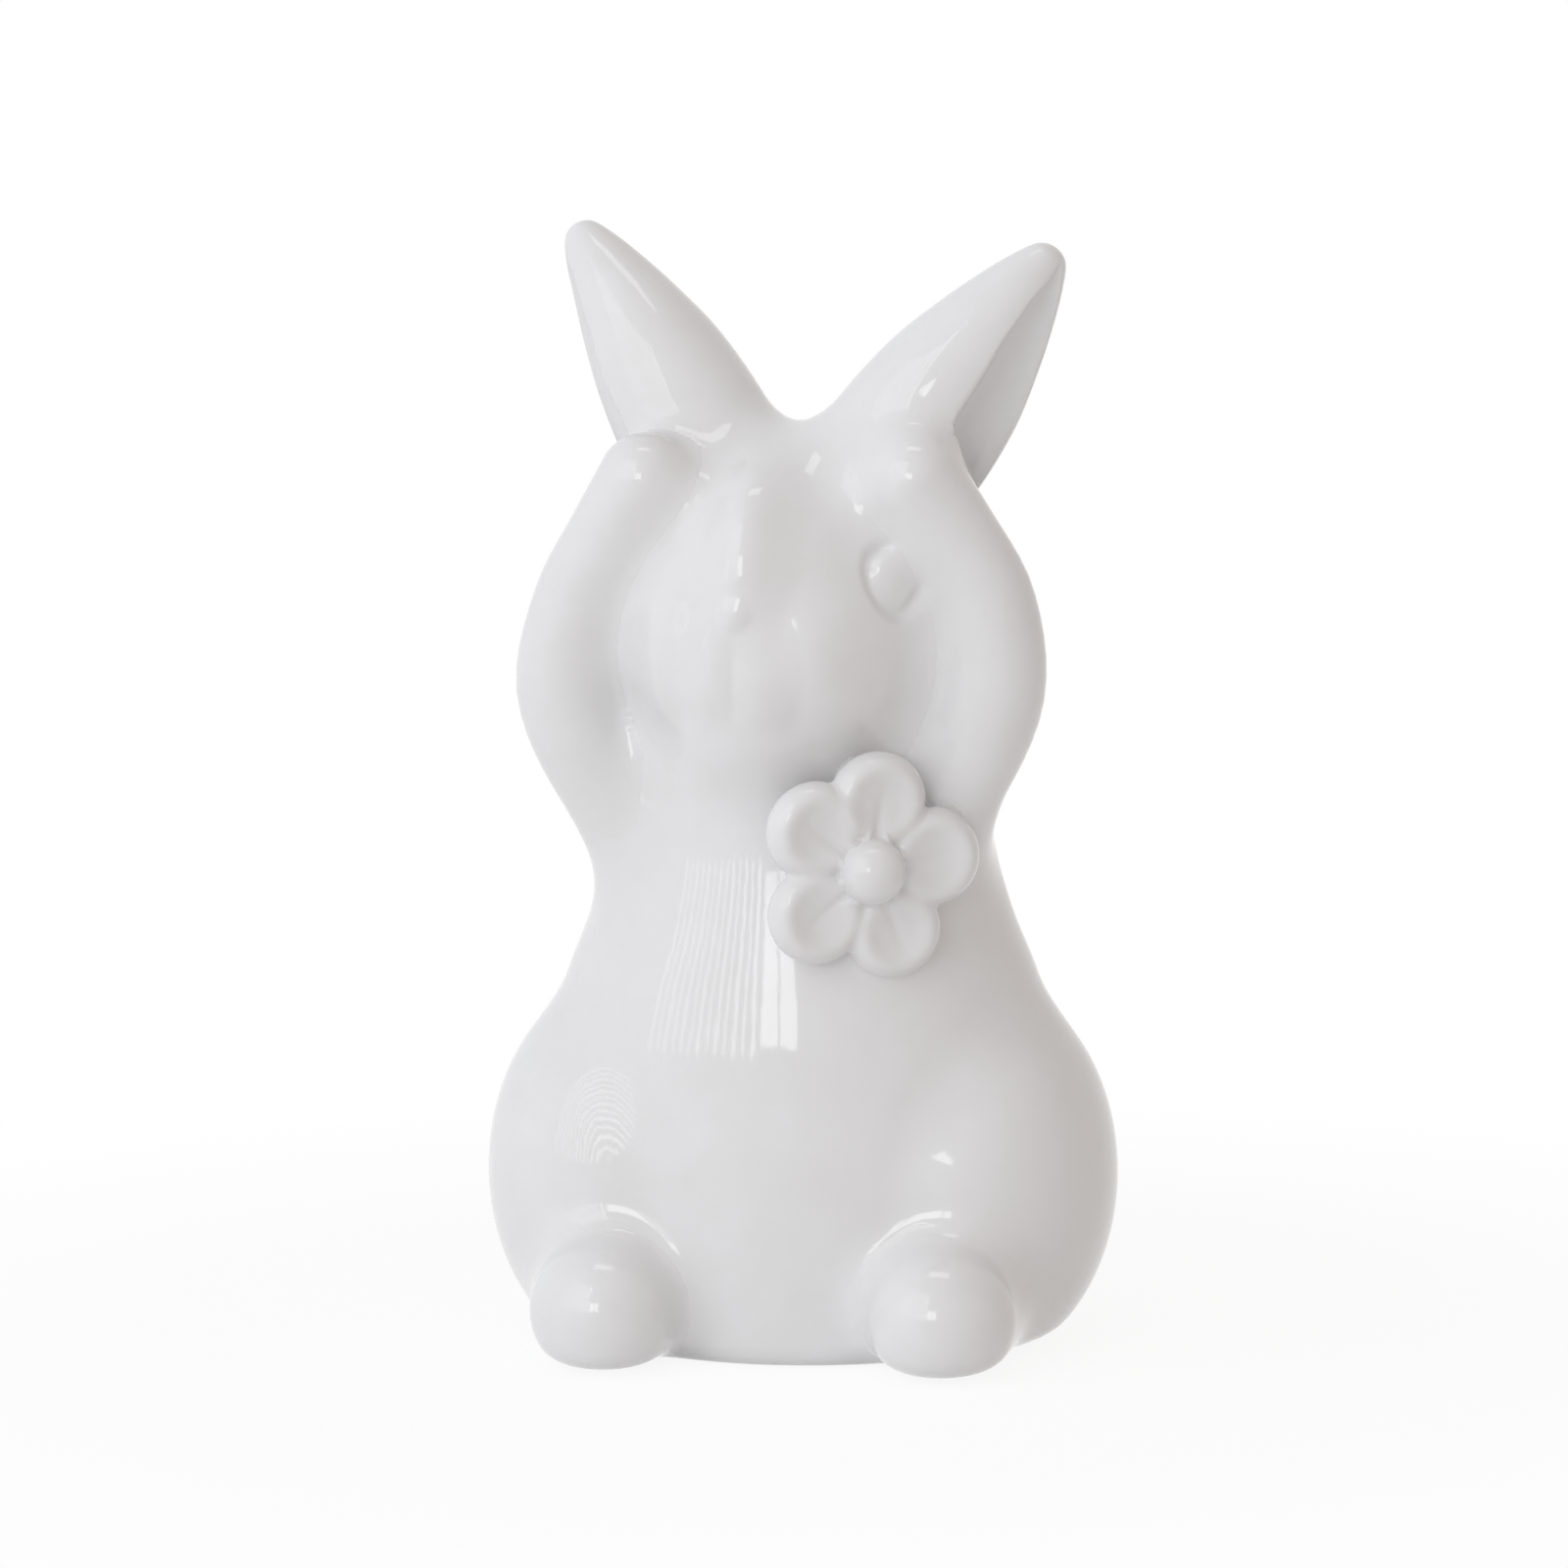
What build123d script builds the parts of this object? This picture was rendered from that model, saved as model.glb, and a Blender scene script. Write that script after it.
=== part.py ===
from build123d import *
import os
from math import sin, cos, pi, sqrt, radians

# A white glazed earthenware rabbit, sitting up with its paws at its ears and a
# five-petalled flower on its chest. Castings and sprigs are luted face to face.
# Millimetres, +Z up, the rabbit looks along -Y and its own left is +X.
# The origin is the middle of the footprint, on the plane that it stands on.

os.makedirs("parts", exist_ok=True)

# Body casting: levels are shares of its height, sizes are shares of the widest ones
trunk_height = 102.0
trunk_half_width = 40.0
trunk_front = 32.5
trunk_back = 35.5
trunk_level_shares = (0.0, 0.2, 0.33, 0.46, 0.56, 0.65, 0.74, 0.84, 0.92, 1.0)
trunk_width_shares = (0.86, 1.0, 1.01, 0.985, 0.915, 0.83, 0.772, 0.73, 0.69, 0.58)
trunk_front_shares = (0.89, 0.985, 1.0, 0.97, 0.925, 0.885, 0.85, 0.815, 0.74, 0.56)
trunk_back_shares = (0.85, 0.985, 1.0, 0.93, 0.83, 0.72, 0.62, 0.52, 0.4, 0.24)
wall = 4.0
shoulder_round = 5.0
base_round = 3.0

# Thighs: two eggs that swell out of the trunk
thigh_x, thigh_y, thigh_z = 26.3, -1.5, 27.5
thigh_half_width, thigh_half_depth, thigh_half_height = 22.9, 27.5, 32.0

# Underside: unglazed foot ring around a shallow recess with the draining hole
foot_ring_width = 8.0
foot_recess = 1.5
drain_hole_radius = 6.0
neck_hole_radius = 7.0

# Head casting, in its own frame: turned a little to its right and tilted
head_y, head_z = -13.0, 113.5
head_turn_angle = -8.5
head_tilt_angle = 3.0
skull_half_width, skull_half_depth, skull_half_height = 26.0, 24.5, 28.5
cheek_x, cheek_y, cheek_z = 11.5, -10.5, -3.5
cheek_half_width, cheek_half_depth, cheek_half_height = 11.0, 12.4, 15.0
bridge_y, bridge_z = -15.5, 7.5
bridge_half_width, bridge_half_depth, bridge_half_height = 6.5, 9.6, 12.0
pad_x, pad_y, pad_z = 5.0, -19.5, -6.5
pad_half_width, pad_half_depth, pad_half_height = 6.4, 5.2, 7.6
chin_y, chin_z = -9.5, -11.5
chin_half_width, chin_half_depth, chin_half_height = 15.5, 12.6, 15.2
nose_y, nose_z = -24.6, 1.6
nose_half_width, nose_half_depth, nose_half_height = 3.2, 2.6, 2.6
eye_angle = 58.0
eye_z = 5.0
eye_slant_angle = -18.0
eye_half_width, eye_half_height, eye_depth = 2.6, 3.7, 2.0
eye_sink = 1.1
socket_half_width, socket_half_height, socket_depth = 3.6, 4.8, 1.3

# Ears, in the head's frame: from a root inside the skull to the tip
ear_root_x, ear_root_y, ear_root_z = 8.5, 3.0, 14.0
ear_tip_x, ear_tip_y, ear_tip_z = 38.3, 6.0, 57.2
ear_half_width = 12.3
ear_half_thick = 10.5
ear_level_shares = (0.0, 0.25, 0.5, 0.7, 0.86, 0.95)
ear_width_shares = (1.05, 1.1, 0.99, 0.73, 0.46, 0.28)
ear_slope_share = 0.1
ear_facing_angle = 25.0
scoop_level_share = 0.56
scoop_offset = 10.0
scoop_half_width, scoop_half_depth, scoop_half_length = 6.4, 6.8, 17.0

# Arms, from the shoulder out to the elbow and back up to the paw on the ear.
# The right one mirrors the left, and both follow the head's tilt by the shifts along X
shoulder_x, shoulder_y, shoulder_z = 19.0, -8.0, 74.0
upper_arm_x, upper_arm_y, upper_arm_z = 27.0, -14.0, 87.5
elbow_x, elbow_y, elbow_z = 32.8, -18.0, 102.0
forearm_x, forearm_y, forearm_z = 31.2, -20.0, 115.5
wrist_x, wrist_y, wrist_z = 25.7, -23.0, 126.5
paw_x, paw_y, paw_z = 20.5, -25.5, 134.5
arm_radius = 7.6
arm_shifts = (-0.9, -0.9, -0.2, 0.85, 1.3, 1.4)
arm_radius_shares = (0.94, 1.0, 1.0, 0.94, 0.88, 0.92)

# Feet, from the heel under the thigh to the round toes
heel_x, heel_y, heel_z = 28.0, -4.0, 9.5
toe_x, toe_y, toe_z = 25.8, -30.5, 9.0
foot_half_width, foot_half_height = 11.3, 11.0
foot_level_shares = (0.0, 0.4, 0.75, 1.0)
foot_size_shares = (0.72, 0.84, 0.98, 1.0)
toe_length = 11.5

# Tail, a low ball at the back
tail_y, tail_z = 35.0, 20.0
tail_radius, tail_half_depth = 9.5, 8.0

# Flower sprigs on the left of the chest, in a frame square to the surface
flower_x, flower_y, flower_z = 14.6, -28.3, 76.4
flower_turn_angle = 28.0
flower_lift_angle = -4.0
petal_angles = {"upper_outer_petal": 8.0, "upper_petal": 82.0, "upper_inner_petal": 144.0,
                "lower_inner_petal": 220.0, "lower_outer_petal": 294.0}
petal_reach = 10.5
petal_half_width, petal_half_length, petal_half_height = 8.2, 7.3, 4.6
dent_half_width, dent_half_length, dent_half_height = 6.2, 5.9, 2.8
dent_lift = 5.0
dent_shift = 0.4
flower_centre_radius = 5.0
flower_centre_lift = 2.6

# How finely the free forms are sampled: counts, not sizes
trunk_points = 16
limb_points = 10
arm_stops = 7
dome_angles = (35.0, 68.0)


# The outline of an oval whose front and back halves have different depths
def trunk_outline(level, half_width, front, back):
    points = []
    for k in range(trunk_points):
        turn = 2 * pi * k / trunk_points - pi / 2
        depth = front if sin(turn) < 0 else back
        points.append((half_width * cos(turn), depth * sin(turn), level))
    return make_face(Spline(*points, periodic=True))


# The trunk between two levels, drawn in from its outer skin by an inset
def trunk(inset, bottom, top):
    faces = []
    for level, wide, front, back in zip(trunk_level_shares, trunk_width_shares,
                                        trunk_front_shares, trunk_back_shares):
        faces.append(trunk_outline(bottom + (top - bottom) * level,
                                   trunk_half_width * wide - inset,
                                   trunk_front * front - inset, trunk_back * back - inset))
    return loft(faces)


# A body through oval sections along a path, with a domed far end
def limb(path, wides, thicks, across, dome):
    path = [Vector(*p) for p in path]
    last = len(path) - 1
    faces = []

    def oval(centre, along, wide, thick):
        side = (across - along * across.dot(along)).normalized()
        up = along.cross(side)
        turns = [2 * pi * k / limb_points for k in range(limb_points)]
        return make_face(Spline(*[centre + side * (wide * cos(t)) + up * (thick * sin(t))
                                  for t in turns], periodic=True))

    for i in range(last + 1):
        along = (path[min(i + 1, last)] - path[max(i - 1, 0)]).normalized()
        faces.append(oval(path[i], along, wides[i], thicks[i]))
    end = (path[last] - path[last - 1]).normalized()
    for turn in dome_angles:
        lean = radians(turn)
        faces.append(oval(path[last] + end * (dome * sin(lean)), end,
                          wides[last] * cos(lean), thicks[last] * cos(lean)))
    tip = path[last] + end * dome
    return loft(faces + [Vertex(tip.X, tip.Y, tip.Z)])


# A cubic through the stations, with the slope of its neighbours at each one
def smooth_through(places, values, at):
    last = len(places) - 1
    slopes = []
    for i in range(last + 1):
        a, b = max(i - 1, 0), min(i + 1, last)
        slopes.append((values[b] - values[a]) / (places[b] - places[a]))
    i = max(k for k in range(last) if places[k] <= at or k == 0)
    gap = places[i + 1] - places[i]
    t = (at - places[i]) / gap
    start = (1 + 2 * t) * (1 - t) ** 2 * values[i] + t * (1 - t) ** 2 * gap * slopes[i]
    return start + t * t * (3 - 2 * t) * values[i + 1] + t * t * (t - 1) * gap * slopes[i + 1]


# A smooth path and its sizes through a few named points
def curved(points, sizes, count):
    places = [0.0]
    for a, b in zip(points, points[1:]):
        places.append(places[-1] + (Vector(*b) - Vector(*a)).length)
    stops = [places[-1] * k / (count - 1) for k in range(count)]
    path = [[smooth_through(places, [p[axis] for p in points], s) for axis in range(3)]
            for s in stops]
    return path, [smooth_through(places, sizes, s) for s in stops]


def egg(centre, halves):
    return Pos(*centre) * scale(Sphere(1), by=tuple(halves))


# The one body that is meant, without the crumbs that a shallow cut can leave
def main_body(shape):
    return max(shape.solids(), key=lambda body: body.volume)


# Everything below the standing plane
ground = Pos(0, 0, -trunk_height / 2) * Box(4 * trunk_half_width, 4 * trunk_half_width,
                                            trunk_height)

# Body casting
body_outer = trunk(0, 0, trunk_height)
body_outer = fillet(body_outer.faces().sort_by(Axis.Z)[-1].edges(), shoulder_round)
body_outer = fillet(body_outer.faces().sort_by(Axis.Z)[0].edges(), base_round)
for side in (-1, 1):
    body_outer += egg((side * thigh_x, thigh_y, thigh_z),
                      (thigh_half_width, thigh_half_depth, thigh_half_height))
body_outer -= ground

inner_bottom = foot_recess + wall
inner_top = trunk_height - wall
body_inner = trunk(wall, inner_bottom, inner_top)
for side in (-1, 1):
    body_inner += egg((side * thigh_x, thigh_y, thigh_z),
                      (thigh_half_width - wall, thigh_half_depth - wall,
                       thigh_half_height - wall))
body_inner -= Pos(0, 0, inner_bottom) * ground

ring_inset = base_round + foot_ring_width
recess = extrude(trunk_outline(0, trunk_half_width * trunk_width_shares[0] - ring_inset,
                               trunk_front * trunk_front_shares[0] - ring_inset,
                               trunk_back * trunk_back_shares[0] - ring_inset), foot_recess)
drain = extrude(Circle(drain_hole_radius), inner_bottom)
neck_hole = Pos(0, 0, inner_top) * extrude(Circle(neck_hole_radius), wall)
torso_shell = body_outer - body_inner - recess - drain - neck_hole

# Head casting
head_place = Pos(0, head_y, head_z) * Rot(0, 0, head_turn_angle) * Rot(0, head_tilt_angle, 0)
skull_halves = (skull_half_width, skull_half_depth, skull_half_height)
head_outer = egg((0, 0, 0), skull_halves)
for side in (-1, 1):
    head_outer += egg((side * cheek_x, cheek_y, cheek_z),
                      (cheek_half_width, cheek_half_depth, cheek_half_height))
head_outer += egg((0, chin_y, chin_z), (chin_half_width, chin_half_depth, chin_half_height))
head_outer += egg((0, bridge_y, bridge_z),
                  (bridge_half_width, bridge_half_depth, bridge_half_height))
for side in (-1, 1):
    head_outer += egg((side * pad_x, pad_y, pad_z),
                      (pad_half_width, pad_half_depth, pad_half_height))
head_outer += egg((0, nose_y, nose_z), (nose_half_width, nose_half_depth, nose_half_height))
for side in (-1, 1):
    outward = radians(eye_angle)
    level = sqrt(1 - (eye_z / skull_half_height) ** 2)
    reach = level / sqrt((sin(outward) / skull_half_width) ** 2
                         + (cos(outward) / skull_half_depth) ** 2)
    eye_place = (Pos(side * reach * sin(outward), -reach * cos(outward), eye_z)
                 * Rot(0, 0, side * eye_angle) * Rot(0, side * eye_slant_angle, 0))
    head_outer -= eye_place * egg((0, 0, 0), (socket_half_width, socket_depth, socket_half_height))
    head_outer += eye_place * egg((0, eye_sink, 0), (eye_half_width, eye_depth, eye_half_height))
head_outer = head_place * head_outer
head_inner = head_place * egg((0, 0, 0), [half - wall for half in skull_halves])
head_shell = head_outer - head_inner - body_outer

solids = {"torso_shell": torso_shell, "head_shell": head_shell}

# Ears
ear_outers = {}
for name, side in (("left_ear", 1), ("right_ear", -1)):
    start = Vector(side * ear_root_x, ear_root_y, ear_root_z)
    run = Vector(side * ear_tip_x, ear_tip_y, ear_tip_z) - start
    along = run.normalized()
    facing = Vector(side * cos(radians(ear_facing_angle)), -sin(radians(ear_facing_angle)), 0)
    outward = (facing - along * facing.dot(along)).normalized()
    length = run.length
    profile = Spline(*[(ear_half_width * wide, 0, length * level)
                       for level, wide in zip(ear_level_shares, ear_width_shares)],
                     (0, 0, length), tangents=[(ear_slope_share, 0, 1), (-1, 0, 0)])
    half = make_face([profile, Line((0, 0, length), (0, 0, 0)),
                      Line((0, 0, 0), (ear_half_width * ear_width_shares[0], 0, 0))])
    blade = scale(revolve(half, Axis.Z), by=(ear_half_thick / ear_half_width, 1, 1))
    blade -= egg((scoop_offset, 0, length * scoop_level_share),
                 (scoop_half_depth, scoop_half_width, scoop_half_length))
    ear_outers[name] = head_place * (Plane(origin=start, x_dir=outward, z_dir=along) * blade)
    solids[name] = ear_outers[name] - head_outer - body_outer

# Arms
arm_points = [(shoulder_x, shoulder_y, shoulder_z), (upper_arm_x, upper_arm_y, upper_arm_z),
              (elbow_x, elbow_y, elbow_z), (forearm_x, forearm_y, forearm_z),
              (wrist_x, wrist_y, wrist_z), (paw_x, paw_y, paw_z)]
arm_sizes = [arm_radius * share for share in arm_radius_shares]
arm_outers = {}
for name, side in (("left_arm", 1), ("right_arm", -1)):
    path, radii = curved([(side * x + shift, y, z)
                          for (x, y, z), shift in zip(arm_points, arm_shifts)],
                         arm_sizes, arm_stops)
    arm_outers[name] = limb(path, radii, radii, Vector(0, 1, 0), radii[-1])
    ear = ear_outers[name.replace("arm", "ear")]
    solids[name] = arm_outers[name] - body_outer - head_outer - ear

# Feet
for name, side in (("left_foot", 1), ("right_foot", -1)):
    heel = Vector(side * heel_x, heel_y, heel_z)
    toe = Vector(side * toe_x, toe_y, toe_z)
    path = [heel + (toe - heel) * share for share in foot_level_shares]
    wides = [foot_half_width * share for share in foot_size_shares]
    highs = [foot_half_height * share for share in foot_size_shares]
    solids[name] = limb(path, wides, highs, Vector(1, 0, 0), toe_length) - ground - body_outer

# Tail
solids["tail"] = egg((0, tail_y, tail_z), (tail_radius, tail_half_depth, tail_radius)) - body_outer

# Flower sprigs: a ball, and petals that meet it and one another half way between
flower_place = (Pos(flower_x, flower_y, flower_z) * Rot(0, 0, flower_turn_angle)
                * Rot(90 - flower_lift_angle, 0, 0))
backing = [body_outer, head_outer, arm_outers["left_arm"]]
centre = flower_place * Pos(0, 0, flower_centre_lift) * Sphere(flower_centre_radius)
solids["flower_centre"] = centre - backing
full_turn = 360.0
flower_radius = petal_reach + petal_half_length
beyond = Pos(0, flower_radius, 0) * Box(4 * flower_radius, 2 * flower_radius, 2 * flower_radius)
angles = list(petal_angles.values())
for i, (name, angle) in enumerate(petal_angles.items()):
    petal = egg((petal_reach, 0, 0), (petal_half_length, petal_half_width, petal_half_height))
    petal -= egg((petal_reach - dent_shift, 0, dent_lift),
                 (dent_half_length, dent_half_width, dent_half_height))
    to_next = (angles[(i + 1) % len(angles)] - angle) % full_turn / 2
    to_last = (angle - angles[i - 1]) % full_turn / 2
    petal -= Rot(0, 0, to_next) * beyond
    petal -= Rot(0, 0, full_turn / 2 - to_last) * beyond
    petal = flower_place * Rot(0, 0, angle) * petal
    solids[name] = petal - backing - centre

# The footprint's middle becomes the origin
solids = {name: main_body(shape) for name, shape in solids.items()}
boxes = [body.bounding_box() for body in solids.values()]
middle_x = (min(box.min.X for box in boxes) + max(box.max.X for box in boxes)) / 2
middle_y = (min(box.min.Y for box in boxes) + max(box.max.Y for box in boxes)) / 2
for name, body in solids.items():
    export_step(Pos(-middle_x, -middle_y, 0) * body, f"parts/{name}.step")
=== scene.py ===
import math
import bpy
import numpy as np
from mathutils import Matrix, Vector


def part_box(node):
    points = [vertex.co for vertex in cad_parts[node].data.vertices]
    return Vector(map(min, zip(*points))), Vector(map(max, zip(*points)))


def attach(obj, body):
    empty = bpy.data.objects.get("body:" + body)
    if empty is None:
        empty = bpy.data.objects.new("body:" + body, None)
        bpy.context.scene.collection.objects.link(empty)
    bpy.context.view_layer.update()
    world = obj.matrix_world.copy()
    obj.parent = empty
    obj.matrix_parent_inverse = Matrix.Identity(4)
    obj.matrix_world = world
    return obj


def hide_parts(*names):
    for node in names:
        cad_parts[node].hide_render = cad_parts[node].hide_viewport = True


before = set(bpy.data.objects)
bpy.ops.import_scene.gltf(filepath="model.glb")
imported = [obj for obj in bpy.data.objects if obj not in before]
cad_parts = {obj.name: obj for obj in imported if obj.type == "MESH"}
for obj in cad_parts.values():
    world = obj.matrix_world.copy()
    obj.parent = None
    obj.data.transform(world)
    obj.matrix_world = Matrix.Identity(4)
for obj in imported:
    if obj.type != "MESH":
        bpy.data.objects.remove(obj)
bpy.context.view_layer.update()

# Sizes in the dictionaries are millimetres in the rabbit's own drawing: z up from the
# table, x towards its left, -y the way it looks. Those that end in Shares are parts of
# the piece's main size at stations along it.
mm = 0.001


# Directions
def heading(azimuth, elevation):
    # level angle from the rabbit's front towards its left, and angle above level
    turn, rise = math.radians(azimuth), math.radians(elevation)
    return (math.sin(turn) * math.cos(rise), -math.cos(turn) * math.cos(rise), math.sin(rise))


def turned(axis, degrees):
    # the matrix of a turn about y or z
    c, s = math.cos(math.radians(degrees)), math.sin(math.radians(degrees))
    if axis == "y":
        return np.array([[c, 0, s], [0, 1, 0], [-s, 0, c]])
    return np.array([[c, -s, 0], [s, c, 0], [0, 0, 1]])


# Distances from points to a form, negative inside it
def softUnion(a, b, blend):
    # the smaller of two distances, with a fillet about as wide as the blend
    share = np.clip(0.5 + 0.5 * (b - a) / blend, 0, 1)
    return b * (1 - share) + a * share - blend * share * (1 - share)


def softCut(a, tool, blend):
    # the larger of one distance and the tool's negated one, rounded in the same way
    return -softUnion(-a, tool, blend)


def egg(p, centre, halves):
    # distance to an ellipsoid: its level value over the length of its slope
    q = (p - np.array(centre)) / np.array(halves)
    level = np.sqrt((q * q).sum(-1)) + 1e-9
    slope = np.sqrt(((q / np.array(halves)) ** 2).sum(-1)) + 1e-9
    return level * (level - 1) / slope


def bothSides(p, centre, halves):
    # the nearer of an egg and its mirror image in the plane x = 0
    return np.minimum(egg(p, centre, halves),
                      egg(p * (-1, 1, 1), centre, halves))


# Lines
def through(places, values, at):
    # a cubic through the stations, with the slope of the neighbours at each one
    places, values = np.array(places, float), np.array(values, float)
    slopes = np.empty_like(values)
    slopes[1:-1] = (values[2:] - values[:-2]) / (places[2:] - places[:-2])
    slopes[0] = (values[1] - values[0]) / (places[1] - places[0])
    slopes[-1] = (values[-1] - values[-2]) / (places[-1] - places[-2])
    at = np.clip(at, places[0], places[-1])
    i = np.clip(np.searchsorted(places, at, side="right") - 1, 0, len(places) - 2)
    gap = places[i + 1] - places[i]
    t = (at - places[i]) / gap
    return ((1 + 2 * t) * (1 - t) ** 2 * values[i] + t * (1 - t) ** 2 * gap * slopes[i]
            + t * t * (3 - 2 * t) * values[i + 1] + t * t * (t - 1) * gap * slopes[i + 1])


def curve(points, count):
    # a smooth line through the points, at even steps of the way from point to point
    points = np.array(points, float)
    places = np.r_[0, np.cumsum(np.linalg.norm(np.diff(points, axis=0), axis=1))]
    stops = np.linspace(0, places[-1], count)
    return np.stack([through(places, points[:, k], stops) for k in range(3)], -1), places, stops


# Body casting: an oval trunk and two thighs. In each piece's dictionary, seam is the width
# of its fillet of slip and glaze, and rows, fans, across and far are its grid's: stations
# on its line, rows that fan out at the line's ends, columns, and the longest way out.
torso = dict(
    height=102.0, halfWidth=40.0, front=32.5, back=35.5,
    levelShares=(0.0, 0.2, 0.33, 0.46, 0.56, 0.65, 0.74, 0.84, 0.92, 1.0),
    widthShares=(0.86, 1.0, 1.01, 0.985, 0.915, 0.825, 0.76, 0.722, 0.69, 0.58),
    frontShares=(0.89, 0.985, 1.0, 0.97, 0.925, 0.885, 0.85, 0.815, 0.74, 0.56),
    backShares=(0.85, 0.985, 1.0, 0.93, 0.83, 0.72, 0.62, 0.52, 0.4, 0.24),
    thigh=(26.3, -1.5, 26.3), thighHalves=(22.8, 27.1, 30.4), thighBlend=3.5,
    tableRound=4.0, topRound=6.0,
    lineFrom=(0.0, 0.0, 16.0), lineTo=(0.0, -3.0, 90.0), lowestRay=33.7,
    rows=200, fans=(36, 24), across=288, far=75.0)


def trunkSizes(share):
    # half width, front and back of the trunk at a share of its height
    return (torso["halfWidth"] * through(torso["levelShares"], torso["widthShares"], share),
            torso["front"] * through(torso["levelShares"], torso["frontShares"], share),
            torso["back"] * through(torso["levelShares"], torso["backShares"], share))


def torsoField(p):
    # an oval trunk whose front and back halves differ, with two thigh eggs blended in
    x, y, z = p[..., 0], p[..., 1], p[..., 2]
    wide, front, back = trunkSizes(np.clip(z / torso["height"], 0, 1))
    deep = np.where(y < 0, front, back)
    radius = np.hypot(x, y) + 1e-6
    side = radius - radius / np.hypot(x / wide, y / deep).clip(1e-6)
    side = softCut(side, torso["height"] - z, torso["topRound"])
    return softUnion(side, bothSides(p, torso["thigh"], torso["thighHalves"]),
                     torso["thighBlend"])


# Head casting, in a frame that is turned to its right and tilted
head = dict(
    centre=(0.0, -13.0, 113.5), turn=-8.5, tilt=3.0,
    skull=(26.0, 24.5, 28.5), keel=0.35, keelEnd=1.2,
    cheek=(11.5, -10.5, -3.5), cheekHalves=(11.0, 12.4, 15.0), cheekBlend=2.0,
    chin=(0.0, -9.5, -11.5), chinHalves=(15.5, 12.6, 15.2), chinBlend=5.0,
    bridge=(0.0, -15.2, 8.0), bridgeHalves=(6.5, 9.2, 12.5), bridgeBlend=6.5,
    pad=(5.0, -19.5, -6.5), padHalves=(6.2, 4.6, 7.6), padBlend=3.5,
    nose=(0.0, -24.0, 1.6), noseHalves=(2.7, 1.8, 1.9), noseBlend=1.8,
    eyeAngle=61.5, eyeHeight=7.0, eyeSlant=-18.0, eyeHalves=(2.5, 3.6, 1.9), eyeSink=1.1,
    eyeRing=3.4, eyeRingDepth=0.85, eyeRingWidth=0.8, eyeRingReach=9.0, eyeBlend=0.6,
    seam=8.5, fans=(130, 130), across=360, far=60.0)
headTurn = turned("z", head["turn"]) @ turned("y", head["tilt"])


def toHead(p):
    # the centre taken off, then the head's turn undone
    return (p - np.array(head["centre"])) @ headTurn


def fromHead(q):
    # the head's turn, then the centre added
    return q @ headTurn.T + np.array(head["centre"])


def eyeFrame(side):
    # the point of the skull in the eye's direction, and the level direction there
    out = np.array(heading(side * head["eyeAngle"], 0))
    rx, ry, rz = head["skull"]
    reach = math.sqrt(1 - (head["eyeHeight"] / rz) ** 2) / math.hypot(out[0] / rx, out[1] / ry)
    return out * reach + np.array([0, 0, head["eyeHeight"]]), out


def headField(p):
    # eggs joined one after another, with a groove and a small egg for each eye
    q = toHead(p)
    # the face narrows towards the nose, so that its two halves look to the sides
    ahead = np.clip(-q[..., 1] / head["skull"][1], 0, head["keelEnd"])
    q[..., 0] *= 1 + head["keel"] * ahead ** 2
    f = egg(q, (0, 0, 0), head["skull"])
    f = softUnion(f, egg(q, head["chin"], head["chinHalves"]), head["chinBlend"])
    f = softUnion(f, bothSides(q, head["cheek"], head["cheekHalves"]), head["cheekBlend"])
    f = softUnion(f, egg(q, head["bridge"], head["bridgeHalves"]), head["bridgeBlend"])
    f = softUnion(f, bothSides(q, head["pad"], head["padHalves"]), head["padBlend"])
    f = softUnion(f, egg(q, head["nose"], head["noseHalves"]), head["noseBlend"])
    slant = math.radians(head["eyeSlant"])
    wide, tall = head["eyeHalves"][:2]
    for side in (-1, 1):
        # the groove is a bell curve of the distance from an oval round the eye
        place, out = eyeFrame(side)
        d = q - place
        sideways, depth = side * (d[..., 1] * out[0] - d[..., 0] * out[1]), d @ out
        u = sideways * math.cos(slant) - d[..., 2] * math.sin(slant)
        v = d[..., 2] * math.cos(slant) + sideways * math.sin(slant)
        oval = np.sqrt((u / wide) ** 2 + (v / tall) ** 2 + (depth / head["eyeRingReach"]) ** 2)
        beside = (oval - head["eyeRing"] / wide) * wide / head["eyeRingWidth"]
        f = f + head["eyeRingDepth"] * np.exp(-beside ** 2)
        local = np.stack([u, v, depth + head["eyeSink"]], -1)
        f = softUnion(f, egg(local, (0, 0, 0), head["eyeHalves"]), head["eyeBlend"])
    return f


# Ears, in the head's frame: a round horn with a scoop, thinner than it is wide
ear = dict(
    root=(8.5, 3.0, 14.0), tip=(38.3, 6.0, 57.2), halfWidth=12.3, halfThick=11.1,
    levelShares=(0.0, 0.25, 0.5, 0.7, 0.86, 0.95, 1.0),
    widthShares=(1.05, 1.1, 1.0, 0.76, 0.50, 0.31, 0.16),
    tipFrom=0.97, tipSquash=1.4, leanShare=0.93,
    facing=68.0, scoopLevels=(0.0, 0.12, 0.3, 0.6, 0.84, 0.93, 1.0),
    scoopShares=(-0.1, 0.3, 0.48, 0.52, 0.48, 0.24, -0.1), scoopBlend=0.7,
    seam=6.0, lineShare=0.6, lineEnd=0.93, rows=220, fans=(24, 24), across=200, far=22.0)


def earFrame(side):
    # root, length, and directions out of the scoop, across it and along the ear
    start = np.array(ear["root"]) * (side, 1, 1)
    run = np.array(ear["tip"]) * (side, 1, 1) - start
    length = np.linalg.norm(run)
    along = run / length
    facing = np.array(heading(side * ear["facing"], 0))
    outward = facing - along * (facing @ along)
    outward /= np.linalg.norm(outward)
    return start, length, outward, np.cross(along, outward), along


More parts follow.
